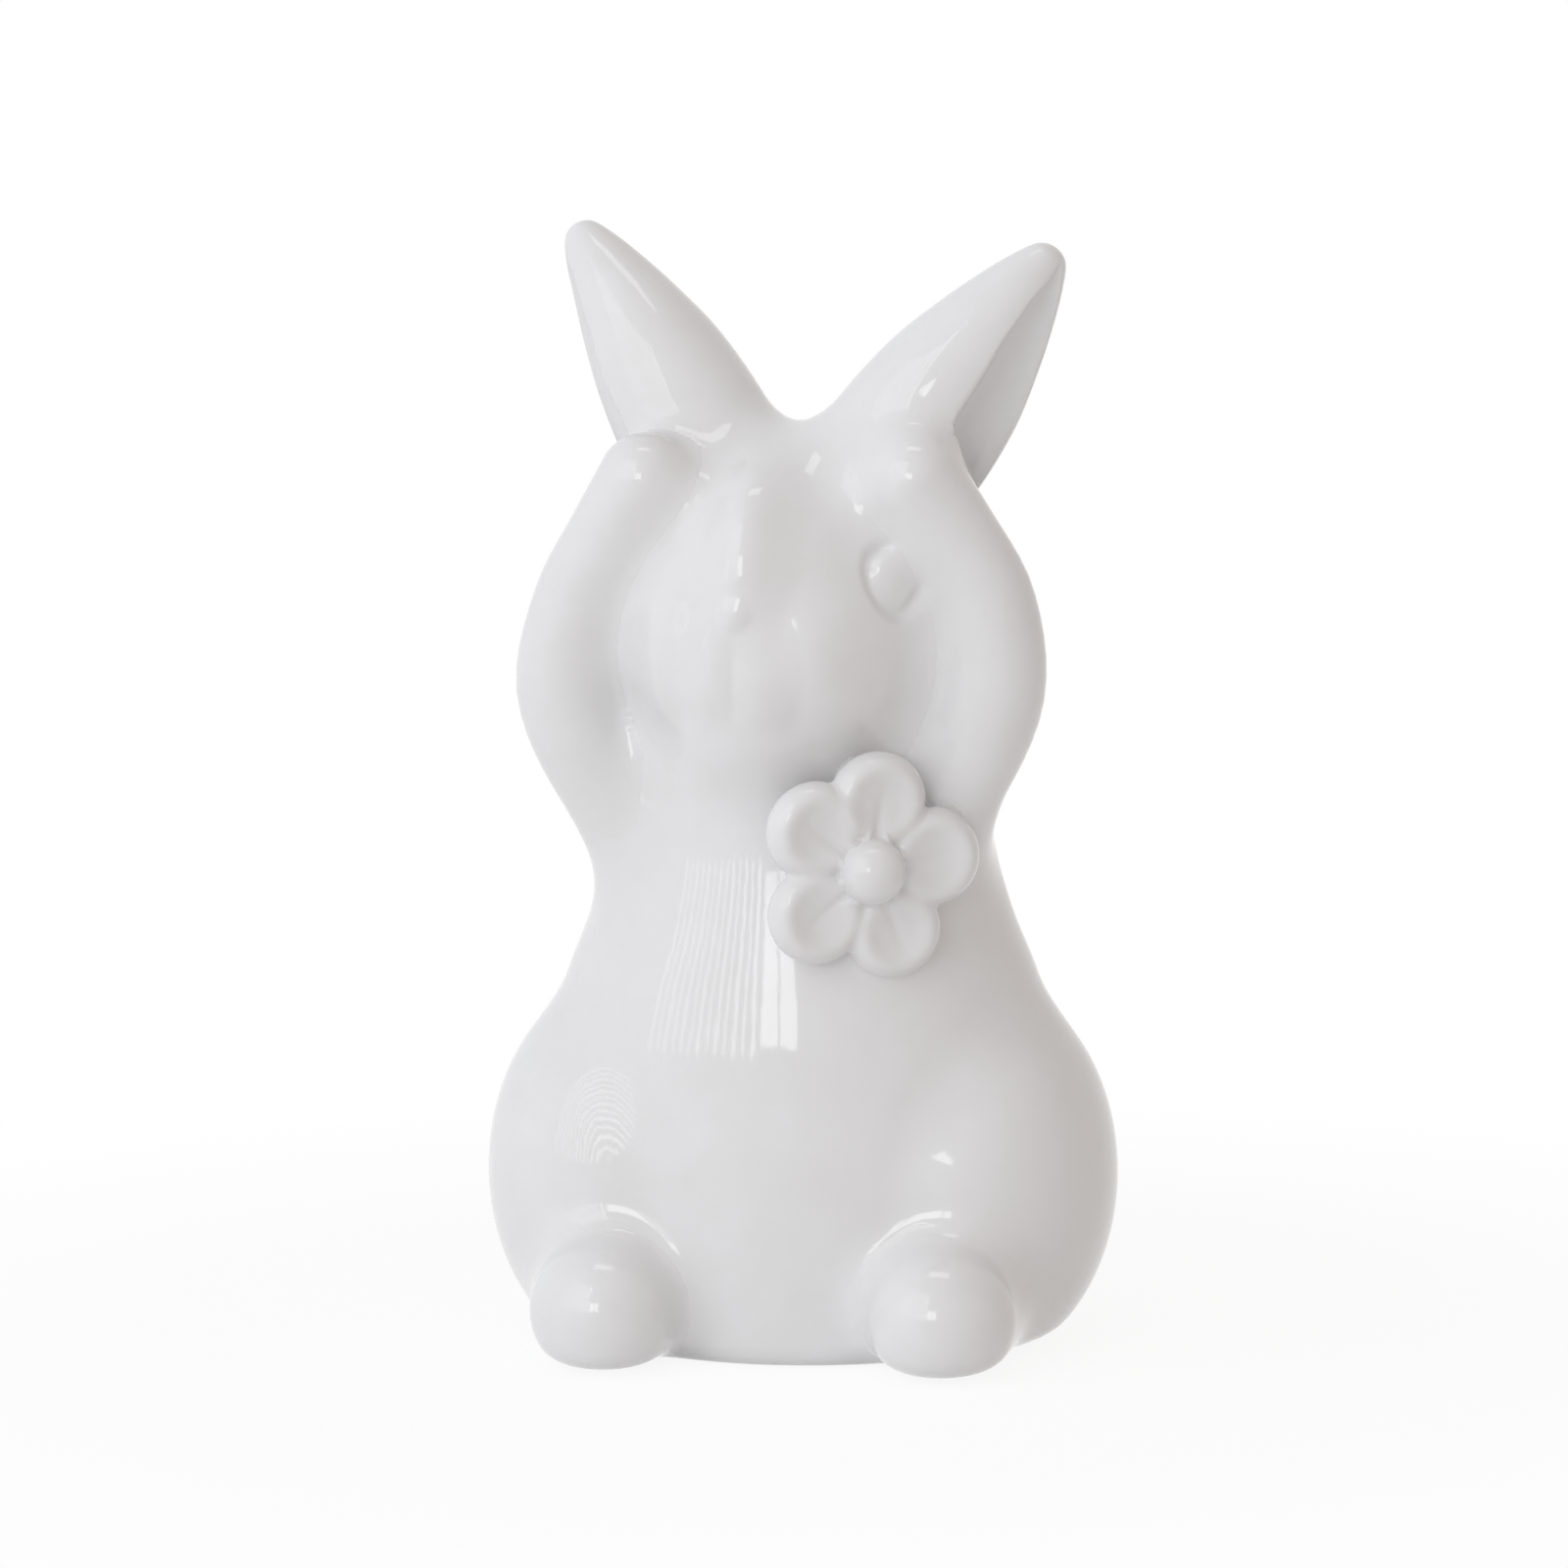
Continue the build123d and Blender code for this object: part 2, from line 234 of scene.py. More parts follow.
def earField(p, side):
    # distance from the ear's line less the horn's half width there, with the scoop cut out.
    # The horn's skin leans, so distances to it are a little shorter, by the lean's share.
    start, length, outward, across, along = earFrame(side)
    d = toHead(p) - start
    u, v, w = d @ outward, d @ across, d @ along
    wide = ear["halfWidth"] * through(ear["levelShares"], ear["widthShares"], w / length)
    # past its last station the tip rounds off, and below its first one the root does
    over = np.clip(w - ear["tipFrom"] * length, 0, None) * ear["tipSquash"]
    over = over + np.clip(-w, 0, None)
    radius = np.hypot(u * ear["halfWidth"] / ear["halfThick"], v)
    f = np.hypot(radius, over) - wide
    # the scoop is a round groove along the outer skin, in proportion to the horn
    thick = wide * ear["halfThick"] / ear["halfWidth"]
    groove = np.hypot(u - thick, v) - wide * through(ear["scoopLevels"], ear["scoopShares"],
                                                     w / length)
    return softCut(f * ear["leanShare"], groove, ear["scoopBlend"])


def earLine(side):
    # from the root almost to the tip, moved back from the scoop in proportion to the horn
    start, length, outward, across, along = earFrame(side)
    stops = np.linspace(0.0, ear["lineEnd"], ear["rows"])
    inset = ear["lineShare"] * ear["halfThick"] * through(ear["levelShares"],
                                                          ear["widthShares"], stops)
    line = start + stops[:, None] * length * along - inset[:, None] * outward
    return fromHead(line), (headTurn @ outward, headTurn @ along)


# Arms: tubes from the shoulder out to the elbow and up to a round paw. The shifts move the
# stations of both arms along x, because the rabbit leans a little to its left.
arm = dict(
    points=[(19.0, -8.0, 74.0), (27.0, -14.0, 87.5), (32.8, -18.0, 102.0),
            (31.2, -20.0, 115.5), (25.7, -23.0, 126.5), (20.5, -25.5, 134.5)],
    shifts=(-0.9, -0.9, -0.2, 0.85, 1.3, 1.4),
    radius=7.6, radiusShares=(0.84, 0.96, 1.0, 0.94, 0.88, 0.92), cones=28,
    seam=9.5, rows=230, fans=(26, 40), across=150, far=14.0)


def armLine(side, count):
    # the arm's line and its radius at each step of it
    points = np.array(arm["points"]) * (side, 1, 1)
    points[:, 0] += arm["shifts"]
    line, places, stops = curve(points, count)
    return line, arm["radius"] * through(places, arm["radiusShares"], stops)


def armField(p, side):
    # the nearest of the short cones between the stations of the line
    line, radii = armLine(side, arm["cones"])
    best = np.full(p.shape[:-1], 1e3)
    for a, b, ra, rb in zip(line, line[1:], radii, radii[1:]):
        t = np.clip(((p - a) @ (b - a)) / ((b - a) @ (b - a)), 0, 1)
        away = p - a - t[..., None] * (b - a)
        best = np.minimum(best, np.sqrt((away ** 2).sum(-1)) - ra - (rb - ra) * t)
    return best


# Feet
foot = dict(
    heel=(28.0, -4.0, 9.5), toe=(25.8, -30.5, 9.0), halfWidth=11.3, halfHeight=11.0,
    levelShares=(0.0, 0.4, 0.75, 1.0), sizeShares=(0.72, 0.84, 0.98, 1.0),
    toeLength=11.5, heelLength=8.0,
    seam=7.0, rows=50, fans=(24, 75), across=190, far=20.0)


def footLine(side):
    # from heel to toe, on the rabbit's left or right
    return np.array([foot["heel"], foot["toe"]]) * (side, 1, 1)


def footField(p, side):
    # a cone of growing ovals along the foot, with an egg for the toes and one for the heel
    heel, toe = footLine(side)
    run = toe - heel
    length = np.linalg.norm(run)
    share = ((p - heel) @ run) / (run @ run)
    size = through(foot["levelShares"], foot["sizeShares"], share)
    away = p - heel - np.clip(share, 0, None)[..., None] * run
    past = np.clip(share - 1, 0, None) * length
    behind = np.clip(-share, 0, None) * length
    level = np.sqrt((away[..., 0] / foot["halfWidth"]) ** 2
                    + (away[..., 2] / foot["halfHeight"]) ** 2
                    + (past / foot["toeLength"]) ** 2 + (behind / foot["heelLength"]) ** 2)
    return (level - size) * foot["halfHeight"]


# Tail: a ball of clay, a little flattened
tail = dict(
    centre=(0.0, 35.0, 20.0), halves=(9.5, 8.0, 9.5),
    seam=4.0, fans=(60, 60), across=150, far=14.0)


def tailField(p):
    # one egg
    return egg(p, tail["centre"], tail["halves"])


# Flower: five pressed petals and a ball, square to the chest
flower = dict(
    centre=(14.6, -28.3, 76.4), turn=28.0, lift=-4.0,
    petals={"upper_outer_petal": 8.0, "upper_petal": 82.0, "upper_inner_petal": 144.0,
            "lower_inner_petal": 220.0, "lower_outer_petal": 294.0},
    reach=10.5, halves=(7.3, 7.5, 4.6), dent=(-0.4, 0.0, 5.0), dentHalves=(6.0, 6.0, 3.0),
    dentBlend=1.3, crease=0.45, creaseWidth=0.9, creaseEnd=3.5, creaseFade=8.0,
    seam=1.1, fans=(60, 60), across=160, far=14.0)
ball = dict(radius=5.0, lift=2.6, seam=1.0, fans=(48, 48), across=128, far=8.0)
heart = np.array(flower["centre"])
flowerOut = np.array(heading(flower["turn"], flower["lift"]))
flowerLevel = np.array(heading(flower["turn"] + 90, 0))
flowerAxes = np.stack([flowerLevel, np.cross(flowerOut, flowerLevel), flowerOut], -1)


def petalField(p, angle):
    # an egg that lies outwards from the middle, with a smaller egg pressed into its face
    q = (p - heart) @ flowerAxes
    c, s = math.cos(math.radians(angle)), math.sin(math.radians(angle))
    local = np.stack([q[..., 0] * c + q[..., 1] * s - flower["reach"],
                      q[..., 1] * c - q[..., 0] * s, q[..., 2]], -1)
    f = softCut(egg(local, (0, 0, 0), flower["halves"]),
                egg(local, flower["dent"], flower["dentHalves"]), flower["dentBlend"])
    # and a shallow crease from the ball out along it
    fade = np.clip((flower["creaseEnd"] - local[..., 0]) / flower["creaseFade"], 0, 1)
    groove = np.exp(-(local[..., 1] / flower["creaseWidth"]) ** 2) * fade
    return f + flower["crease"] * groove * (local[..., 2] > 0)


def ballField(p):
    # distance to a point that is lifted off the flower's plane, less the radius
    return np.linalg.norm(p - heart - flowerOut * ball["lift"], axis=-1) - ball["radius"]


# The order in which the pieces are joined to the body, with the width of each seam's fillet
fields = {"torso_shell": (torsoField, 0.0),
          "left_arm": (lambda p: armField(p, 1), arm["seam"]),
          "right_arm": (lambda p: armField(p, -1), arm["seam"]),
          "head_shell": (headField, head["seam"]),
          "left_ear": (lambda p: earField(p, 1), ear["seam"]),
          "right_ear": (lambda p: earField(p, -1), ear["seam"]),
          "left_foot": (lambda p: footField(p, 1), foot["seam"]),
          "right_foot": (lambda p: footField(p, -1), foot["seam"]),
          "tail": (tailField, tail["seam"])}
for name, angle in flower["petals"].items():
    fields[name] = (lambda p, angle=angle: petalField(p, angle), flower["seam"])
fields["flower_centre"] = (ballField, ball["seam"])

# Past a seam a piece dips below its neighbour by the dip times the square of the distance.
# The joined form is looked for within "walk" of the piece's own, in strides, then halvings.
joining = dict(dip=0.12, dipEnd=14.0, walk=12.0, strides=8, halvings=12, ownHalvings=22,
               touching=0.0005, farAway=99.0)
forms = {}
boxes = {}


def onTable(name, values, p):
    # feet and body are cut by the table with a rounded edge
    if name == "torso_shell" or name.endswith("foot"):
        return softCut(values, p[..., 2], torso["tableRound"])
    return values


def nearField(name, p):
    # a piece's distance where it matters, and far away everywhere else
    low, high = boxes[name]
    near = ((p > low) & (p < high)).all(-1)
    values = np.full(p.shape[:-1], joining["farAway"])
    if near.any():
        values[near] = fields[name][0](p[near])
    return values


def seamField(own, p):
    # all pieces softly joined, plus the dip past the seam
    joined, mine = None, None
    others = np.full(p.shape[:-1], joining["farAway"])
    for name, (field, seam) in fields.items():
        values = nearField(name, p)
        if name == own:
            mine = values
        else:
            others = np.minimum(others, values)
        joined = values if joined is None else softUnion(joined, values, seam)
    past = np.clip(onTable(own, mine, p) - others, 0, joining["dipEnd"])
    return onTable(own, joined, p) + joining["dip"] * past ** 2


def halve(field, starts, rays, near, beyond, steps):
    # bisection for the place where each ray leaves the form
    for step in range(steps):
        middle = (near + beyond) / 2
        inside = field(starts + rays * middle[:, None]) < 0
        near, beyond = np.where(inside, middle, near), np.where(inside, beyond, middle)
    return (near + beyond) / 2


def walkOut(field, starts, rays, near, far, strides):
    # equal strides along each ray, up to the first that ends outside the form
    near, beyond, searching = near.copy(), near + far, np.ones(len(near), bool)
    for step in range(strides - 1):
        ahead = near[searching] + far / strides
        inside = field(starts[searching] + rays[searching] * ahead[:, None]) < 0
        walkers = np.flatnonzero(searching)
        near[walkers[inside]] = ahead[inside]
        beyond[walkers[~inside]] = ahead[~inside]
        searching[walkers[~inside]] = False
    return near, beyond


# Grids: rows along a line from one end's pole to the other, columns around it
def lineRays(line, axes, fans, across, lowest):
    # Rays fan out at the line's first point, stand square to it and fan in at its last: the
    # direction around the line times the cosine of the lean, plus the line's times the sine.
    # The axes are the first column's direction, and that of a line with only one point.
    sideways, ahead = np.array(axes, float)
    along = np.gradient(line, axis=0) if len(line) > 1 else ahead[None]
    along = along / np.linalg.norm(along, axis=1, keepdims=True)
    first = np.radians(lowest * ((np.arange(fans[0]) + 0.5) / fans[0] - 1))
    last = np.radians(90 * (np.arange(fans[1]) + 0.5) / fans[1])
    lean = np.r_[first, np.zeros(len(line)), last][:, None, None]
    at = np.r_[np.zeros(fans[0], int), np.arange(len(line)), np.full(fans[1], len(line) - 1)]
    axis = along[at]
    u = sideways - axis * (axis @ sideways)[:, None]
    u /= np.linalg.norm(u, axis=1, keepdims=True)
    v = np.cross(axis, u)
    around = 2 * np.pi * np.arange(across)[None, :, None] / across
    ring = np.cos(around) * u[:, None] + np.sin(around) * v[:, None]
    rays = np.cos(lean) * ring + np.sin(lean) * axis[:, None]
    starts = np.broadcast_to(line[at][:, None], rays.shape)
    # the last two rays are the poles at the line's ends
    rays = np.concatenate([rays.reshape(-1, 3), [-along[0], along[-1]]])
    starts = np.concatenate([starts.reshape(-1, 3), [line[0], line[-1]]])
    return starts, rays, len(at)


def cast(name, line, axes, sizes, lowest=90.0):
    # the piece's own surface, where each ray first meets it, and the box it has effect in
    starts, rays, rows = lineRays(np.array(line, float), axes, sizes["fans"], sizes["across"],
                                  lowest)
    field = fields[name][0]
    own = halve(lambda p: onTable(name, field(p), p), starts, rays, np.zeros(len(rays)),
                np.full(len(rays), sizes["far"]), joining["ownHalvings"])
    points = starts + rays * own[:, None]
    forms[name] = dict(starts=starts, rays=rays, own=own, rows=rows, across=sizes["across"])
    margin = max(seam for field, seam in fields.values())
    boxes[name] = (points.min(0) - margin, points.max(0) + margin)


def seamPoints(name):
    # from the piece's own surface out to the joined one, where a neighbour is near
    form = forms[name]
    starts, rays, reach = form["starts"], form["rays"], form["own"].copy()

    def joined(p):
        return seamField(name, p)

    todo = joined(starts + rays * reach[:, None]) < -joining["touching"]
    near, beyond = walkOut(joined, starts[todo], rays[todo], reach[todo], joining["walk"],
                           joining["strides"])
    reach[todo] = halve(joined, starts[todo], rays[todo], near, beyond, joining["halvings"])
    points = starts + rays * reach[:, None]
    return points[:-2].reshape(form["rows"], form["across"], 3), points[-2], points[-1]


# The drawing is slid along y until its tail ends where the tail's solid does
tailEnd = tail["centre"][1] + tail["halves"][1]
drawingToFrame = np.array([0.0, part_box("tail")[1].y / mm - tailEnd, 0.0])
pieces = {}


def metres(points):
    # from the drawing to the frame
    return (points + drawingToFrame) * mm


def skin(name, grid, startPole, endPole):
    # rows of points around, closed at both ends with a fan to a pole
    rows, across = grid.shape[:2]
    vertices = np.concatenate([[startPole], grid.reshape(-1, 3), [endPole]])
    r, a = np.meshgrid(np.arange(rows - 1), np.arange(across), indexing="ij")
    first, second = 1 + r * across + a, 1 + r * across + (a + 1) % across
    quads = np.stack([first, second, second + across, first + across], -1).reshape(-1, 4)
    ring, last = np.arange(across), 1 + (rows - 1) * across
    pole = np.full(across, len(vertices) - 1)
    bottom = np.stack([0 * ring, 1 + (ring + 1) % across, 1 + ring], -1)
    top = np.stack([last + ring, last + (ring + 1) % across, pole], -1)
    mesh = bpy.data.meshes.new(name)
    mesh.from_pydata(metres(vertices).tolist(), [],
                     bottom.tolist() + quads.tolist() + top.tolist())
    mesh.shade_smooth()
    pieces[name] = bpy.data.objects.new(name, mesh)
    bpy.context.scene.collection.objects.link(pieces[name])


print("working out the castings' own surfaces")
upright = ((1, 0, 0), (0, 0, 1))
cast("torso_shell", np.linspace(torso["lineFrom"], torso["lineTo"], torso["rows"]), upright,
     torso, torso["lowestRay"])
cast("head_shell", [head["centre"]], upright, head)
for name, side in (("left_ear", 1), ("right_ear", -1)):
    cast(name, *earLine(side), ear)
for name, side in (("left_arm", 1), ("right_arm", -1)):
    cast(name, armLine(side, arm["rows"])[0], ((0, -1, 0), (0, 0, 1)), arm)
for name, side in (("left_foot", 1), ("right_foot", -1)):
    cast(name, np.linspace(*footLine(side), foot["rows"]), ((0, 0, 1), (0, -1, 0)), foot)
cast("tail", [tail["centre"]], ((1, 0, 0), (0, 1, 0)), tail)
for name, angle in flower["petals"].items():
    c, s = math.cos(math.radians(angle)), math.sin(math.radians(angle))
    outward = flowerAxes @ np.array([c, s, 0])
    cast(name, [heart + outward * flower["reach"]], (outward, flowerOut), flower)
cast("flower_centre", [heart + flowerOut * ball["lift"]], (flowerLevel, flowerOut), ball)

print("joining them with slip seams")
for name in forms:
    if name != "torso_shell":
        skin(name, *seamPoints(name))

# Underside of the body: foot ring, shallow recess and drain hole, and the hollow inside. The
# recess has a rounded wall, given as insets from the foot ring and heights.
print("opening the body's underside")
underside = dict(ring=(23.4, 17.9, 19.2), recessInsets=(2.5, 1.0, 0.4, 0.1, -0.4),
                 recessHeights=(1.5, 1.4, 0.75, 0.2, 0.0), drainRadius=6.0, edge=0.6)
hollow = dict(wall=4.0, roofRound=8.0, wallFrom=10.0, wallTo=8.0, wallRows=14,
              floorRound=6.0, floorInset=0.2, bendFrom=10.0, bendRows=8)
grid, lowPole, topPole = seamPoints("torso_shell")
around = 2 * np.pi * np.arange(torso["across"]) / torso["across"]
compass = np.stack([np.cos(around), np.sin(around)], -1)


def oval(wide, front, back):
    # radius of an oval in each of the grid's directions
    deep = np.where(compass[:, 1] < 0, front, back)
    return 1 / np.hypot(compass[:, 0] / wide, compass[:, 1] / deep)


def ringAt(radius, z):
    # one row of the grid, at a radius that may differ from column to column
    return np.concatenate([(radius * np.ones(len(compass)))[:, None] * compass,
                           np.full((len(compass), 1), z)], 1)


recess, drain, edge = underside["recessHeights"][0], underside["drainRadius"], underside["edge"]
floorLevel = recess + hollow["wall"]
roofLevel = torso["height"] - hollow["wall"]
# heights of the hollow's rows and their share of its width: round roof, wall, round floor
bend = np.radians(np.linspace(hollow["bendFrom"], 90, hollow["bendRows"]))
wallStops = np.linspace(roofLevel - hollow["wallFrom"], floorLevel + hollow["wallTo"],
                        hollow["wallRows"])
insideStops = np.concatenate([
    np.stack([roofLevel - hollow["roofRound"] * (1 - np.cos(bend)), np.sin(bend)], -1),
    np.stack([wallStops, np.ones(hollow["wallRows"])], -1),
    np.stack([floorLevel + hollow["floorRound"] * (1 - np.sin(bend)),
              1 - hollow["floorInset"] * (1 - np.cos(bend))], -1)])
rings = []
for z, share in insideStops:
    trunk = oval(*trunkSizes((z - floorLevel) / (roofLevel - floorLevel)))
    rings.append(ringAt(share * (trunk - hollow["wall"]), z))
for radius, z in ((drain + edge, floorLevel), (drain, floorLevel - edge),
                  (drain, recess + edge), (drain + edge / 3, recess + edge / 4),
                  (drain + edge, recess)):
    rings.append(ringAt(radius, z))
for inset, z in zip(underside["recessInsets"], underside["recessHeights"]):
    rings.append(ringAt(oval(*underside["ring"]) - inset, z))
skin("torso_shell", np.concatenate([np.array(rings), grid]), np.array([0, 0, roofLevel]),
     topPole)

for name, piece in pieces.items():
    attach(piece, "root")
    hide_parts(name)


# Finishes
def linear(code):
    # sRGB hex to linear: a 12.92th up to 0.04045, and above it the power of 2.4
    values = np.array([int(code[i:i + 2], 16) for i in (1, 3, 5)]) / 255
    values = np.where(values <= 0.04045, values / 12.92, ((values + 0.055) / 1.055) ** 2.4)
    return (*values.tolist(), 1.0)


def node(tree, kind, settings=(), values=(), links=()):
    # adds a node, sets it and its sockets, and links (socket, source node, source socket)
    made = tree.nodes.new(kind)
    for key, value in dict(settings).items():
        setattr(made, key, value)
    for key, value in dict(values).items():
        made.inputs[key].default_value = value
    for key, source, output in links:
        tree.links.new(source.outputs[output], made.inputs[key])
    return made


def directRays(tree):
    # 1 for the rays that show a background: straight, mirrored or passing through, else 0
    kind = node(tree, "ShaderNodeLightPath")
    some = node(tree, "ShaderNodeMath", {"operation": "MAXIMUM"},
                links=[(0, kind, "Is Camera Ray"), (1, kind, "Is Glossy Ray")])
    return node(tree, "ShaderNodeMath", {"operation": "MAXIMUM"},
                links=[(0, some, "Value"), (1, kind, "Is Transmission Ray")])


# White tin glaze, dipped and fired over earthenware: opaque, cool white, glossy, with a
# slightly uneven skin that makes its reflections waver. The mottle is how wide the patches
# of thick and thin glaze are, and the peel how wide and high its ripples.
print("glazing the pieces")
glazeLook = dict(thick="#e9e9ea", thin="#e2e1e0", roughness=0.06, ior=1.52,
                 mottle=9.0, peel=2.2, peelHeight=0.012)
glaze = bpy.data.materials.new("white tin glaze")
glaze.use_nodes = True
tree = glaze.node_tree
tree.nodes.clear()
where = node(tree, "ShaderNodeTexCoord")
mottle = node(tree, "ShaderNodeTexNoise",
              values={"Scale": 1 / (glazeLook["mottle"] * mm), "Detail": 2.0},
              links=[("Vector", where, "Object")])
tone = node(tree, "ShaderNodeMix", {"data_type": "RGBA"},
            {6: linear(glazeLook["thick"]), 7: linear(glazeLook["thin"])}, [(0, mottle, "Fac")])
peel = node(tree, "ShaderNodeTexNoise",
            values={"Scale": 1 / (glazeLook["peel"] * mm), "Detail": 1.0},
            links=[("Vector", where, "Object")])
bump = node(tree, "ShaderNodeBump",
            values={"Strength": 1.0, "Distance": glazeLook["peelHeight"] * mm},
            links=[("Height", peel, "Fac")])
shader = node(tree, "ShaderNodeBsdfPrincipled",
              values={"Roughness": glazeLook["roughness"], "IOR": glazeLook["ior"]},
              links=[("Base Color", tone, 2), ("Normal", bump, "Normal")])
node(tree, "ShaderNodeOutputMaterial", links=[("Surface", shader, "BSDF")])
for piece in pieces.values():
    piece.data.materials.append(glaze)

# Matt white paper: lights the figurine from below and holds its shadow, while direct rays
# see it most of the way to plain white near the figurine, and all the way farther out
print("laying the table")
table = dict(size=6000.0, paper="#fafafa", roughness=0.9, whiteNear=0.9, nearEnds=90.0,
             whiteFrom=260.0)
paper = bpy.data.materials.new("matt white paper")
paper.use_nodes = True
tree = paper.node_tree
tree.nodes.clear()
matt = node(tree, "ShaderNodeBsdfPrincipled",
            values={"Base Color": linear(table["paper"]), "Roughness": table["roughness"],
                    "Specular IOR Level": 0.0})
glow = node(tree, "ShaderNodeEmission", values={"Color": (1, 1, 1, 1), "Strength": 1.0})
where = node(tree, "ShaderNodeTexCoord")
away = node(tree, "ShaderNodeVectorMath", {"operation": "LENGTH"}, links=[(0, where, "Object")])
fade = node(tree, "ShaderNodeMapRange", {"interpolation_type": "SMOOTHSTEP"},
            {"From Min": table["nearEnds"] * mm, "From Max": table["whiteFrom"] * mm,
             "To Min": table["whiteNear"], "To Max": 1.0}, [("Value", away, "Value")])
seen = node(tree, "ShaderNodeMath", {"operation": "MULTIPLY"},
            links=[(0, directRays(tree), "Value"), (1, fade, "Result")])
both = node(tree, "ShaderNodeMixShader",
            links=[("Fac", seen, "Value"), (1, matt, "BSDF"), (2, glow, "Emission")])
node(tree, "ShaderNodeOutputMaterial", links=[("Surface", both, "Shader")])
half = table["size"] / 2 * mm
mesh = bpy.data.meshes.new("floor")
mesh.from_pydata([(-half, -half, 0), (half, -half, 0), (half, half, 0), (-half, half, 0)], [],
                 [(0, 1, 2, 3)])
floor = bpy.data.objects.new("floor", mesh)
floor.data.materials.append(paper)
bpy.context.scene.collection.objects.link(floor)

# Camera: directions in degrees, its aim and distance in the drawing's millimetres
view = dict(azimuth=9.5, elevation=6.0, roll=0.5, distance=900.0, aim=(-2.6, 0.0, 86.0),
            lens=133.6, sensor=36.0, clipStart=50.0)
back = Vector(heading(view["azimuth"], view["elevation"]))
level = Vector(heading(view["azimuth"] + 90, 0))
upward = back.cross(level)
c, s = math.cos(math.radians(view["roll"])), math.sin(math.radians(view["roll"]))
right, up = level * c - upward * s, upward * c + level * s
aim = Vector(metres(np.array(view["aim"])).tolist())
camera = bpy.data.objects.new("camera", bpy.data.cameras.new("camera"))
camera.data.lens = view["lens"]
camera.data.sensor_width = view["sensor"]
camera.data.clip_start = view["clipStart"] * mm
camera.matrix_world = (Matrix.Translation(aim + back * view["distance"] * mm)
                       @ Matrix((right, up, back)).transposed().to_4x4())
bpy.context.scene.collection.objects.link(camera)
bpy.context.scene.camera = camera

# Lamps stand at an angle and distance from the figurine. A radiance of 1 looks white in a
# mirror. The room lights the glaze from all round. The daylight's spread is the two angles
# from its middle at which it has ended and at which it is full.
print("lighting the window and the room")
lights = dict(
    folds=13, foldFrom=-58.0, foldTo=-15.5, foldWidth=32.0, narrowShare=0.7,
    foldHeight=1000.0, foldRise=24.0, foldRadiance=(1.5, 3.6), foldAway=1300.0,
    pane=(150.0, 330.0), paneAt=(-2.2, -9.4), paneRise=12.0, paneRadiance=4.0, paneAway=1400.0,
    top=(520.0, 200.0), topRise=82.0, topRadiance=2.0, topAway=1200.0,
    wallLeft="#cdced1", wallRight="#d0bba8", wallStrength=0.78, warmTowards=(0.9, 0.3, -0.3),
    warmFrom=-0.3, warmTo=0.9,
    daylight="#f3f5fa", daylightStrength=1.1, daylightAt=(-52.0, 20.0),
    daylightSpread=(62.0, 26.0))


def lamp(name, azimuth, elevation, distance, size, radiance):
    # a rectangle that faces the figurine; its power is radiance times pi times its area
    out = Vector(heading(azimuth, elevation))
    light = bpy.data.lights.new(name, "AREA")
    light.shape = "RECTANGLE"
    light.size, light.size_y = size[0] * mm, size[1] * mm
    light.energy = radiance * math.pi * light.size * light.size_y
    item = bpy.data.objects.new(name, light)
    item.location = aim + out * distance * mm
    item.rotation_euler = out.to_track_quat("Z", "Y").to_euler()
    bpy.context.scene.collection.objects.link(item)


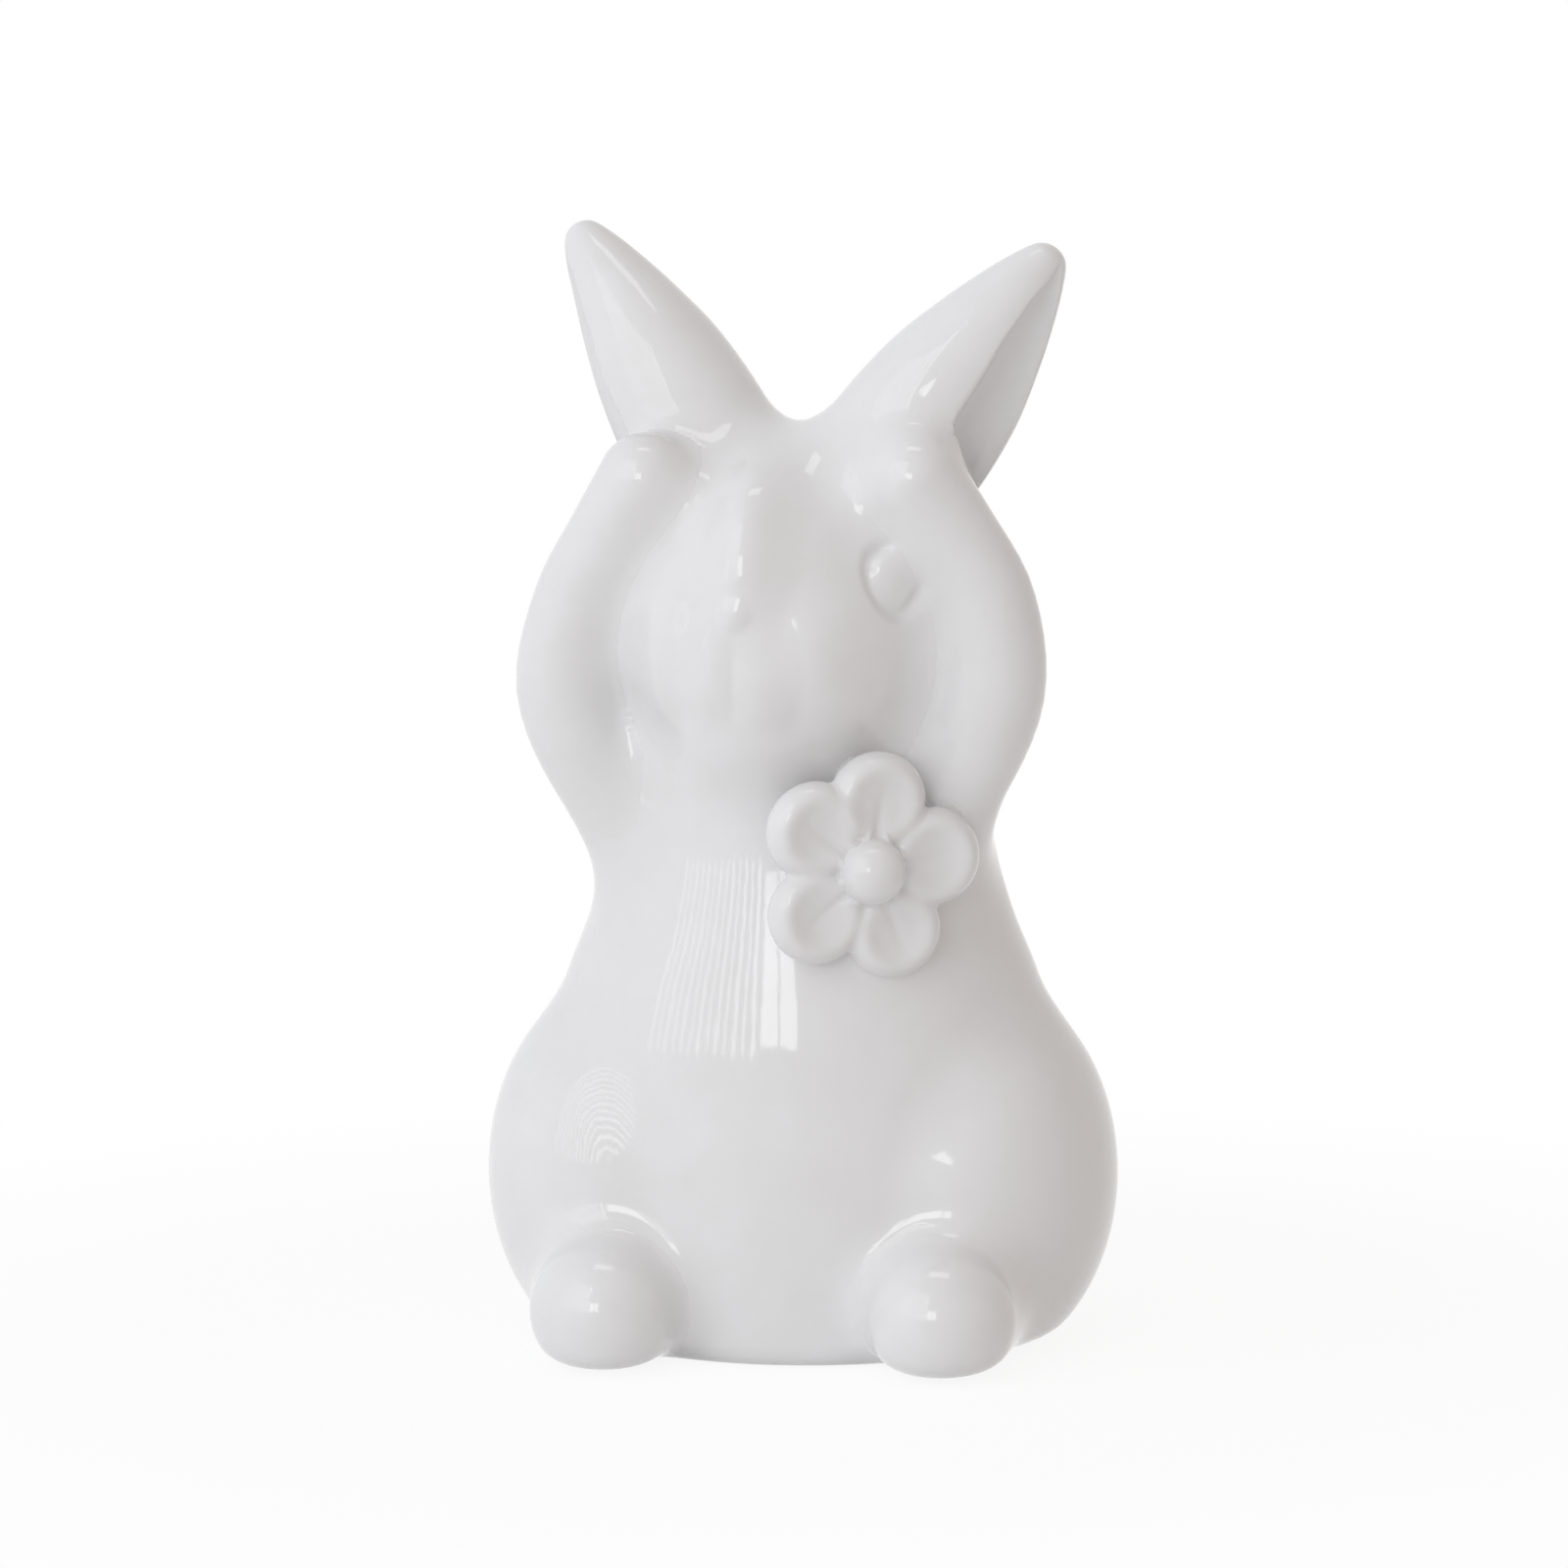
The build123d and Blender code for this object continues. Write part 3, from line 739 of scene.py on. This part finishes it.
# A window beside a curtain on the rabbit's right: two panes, and folds with gaps between,
# every other one narrower, brighter towards the window
darkest, brightest = lights["foldRadiance"]
for k, azimuth in enumerate(np.linspace(lights["foldFrom"], lights["foldTo"], lights["folds"])):
    nearness = (k / (lights["folds"] - 1)) ** 2
    width = lights["foldWidth"] * (lights["narrowShare"] if k % 2 else 1.0)
    lamp(f"curtain fold {k + 1}", azimuth, lights["foldRise"], lights["foldAway"],
         (width, lights["foldHeight"]), darkest + (brightest - darkest) * nearness)
for k, azimuth in enumerate(lights["paneAt"]):
    lamp(f"window pane {k + 1}", azimuth, lights["paneRise"], lights["paneAway"],
         lights["pane"], lights["paneRadiance"])
lamp("ceiling light", 0.0, lights["topRise"], lights["topAway"], lights["top"],
     lights["topRadiance"])

# The room: daylight round the window, else pale on the left, warm and darker on the right.
# Direct rays see plain white instead.
world = bpy.data.worlds.new("studio")
bpy.context.scene.world = world
world.use_nodes = True
tree = world.node_tree
tree.nodes.clear()
where = node(tree, "ShaderNodeTexCoord")
lean = node(tree, "ShaderNodeVectorMath", {"operation": "DOT_PRODUCT"},
            {1: lights["warmTowards"]}, [(0, where, "Generated")])
share = node(tree, "ShaderNodeMapRange", {"interpolation_type": "SMOOTHSTEP"},
             {"From Min": lights["warmFrom"], "From Max": lights["warmTo"]},
             [("Value", lean, "Value")])
walls = node(tree, "ShaderNodeMix", {"data_type": "RGBA"},
             {6: linear(lights["wallLeft"]), 7: linear(lights["wallRight"])},
             [(0, share, "Result")])
room = node(tree, "ShaderNodeBackground", values={"Strength": lights["wallStrength"]},
            links=[("Color", walls, 2)])
toWindow = node(tree, "ShaderNodeVectorMath", {"operation": "DOT_PRODUCT"},
                {1: heading(*lights["daylightAt"])}, [(0, where, "Generated")])
outer, inner = (math.cos(math.radians(angle)) for angle in lights["daylightSpread"])
near = node(tree, "ShaderNodeMapRange", {"interpolation_type": "SMOOTHSTEP"},
            {"From Min": outer, "From Max": inner}, [("Value", toWindow, "Value")])
daylight = node(tree, "ShaderNodeBackground",
                values={"Color": linear(lights["daylight"]),
                        "Strength": lights["daylightStrength"]})
lit = node(tree, "ShaderNodeMixShader",
           links=[("Fac", near, "Result"), (1, room, "Background"), (2, daylight, "Background")])
white = node(tree, "ShaderNodeBackground", values={"Color": (1, 1, 1, 1), "Strength": 1.0})
both = node(tree, "ShaderNodeMixShader",
            links=[("Fac", directRays(tree), "Value"), (1, lit, "Shader"),
                   (2, white, "Background")])
node(tree, "ShaderNodeOutputWorld", links=[("Surface", both, "Shader")])

bpy.context.scene.view_settings.view_transform = "Standard"
